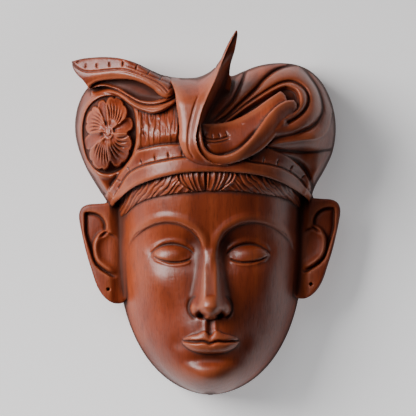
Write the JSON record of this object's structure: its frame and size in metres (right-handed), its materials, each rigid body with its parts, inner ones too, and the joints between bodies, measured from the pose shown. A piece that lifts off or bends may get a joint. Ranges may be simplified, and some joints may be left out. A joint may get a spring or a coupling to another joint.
{
  "type": "wooden wall mask",
  "caption": "Carved wooden wall mask: a calm man's head in a folded headcloth with a flower, hollowed at the back, lying face up.",
  "frame": {"origin": "on the back plane, under the middle of the mask's outline", "axes": "+Z out of the face, away from the wall; +Y towards the crown; +X to the viewer's right"},
  "size_m": [0.2222, 0.3, 0.111],
  "materials": {
    "mask_wood": "reddish-brown stained and waxed hardwood, semi-gloss"
  },
  "bodies": {
    "root": {"mask": "mask_wood"}
  },
  "joints": []
}
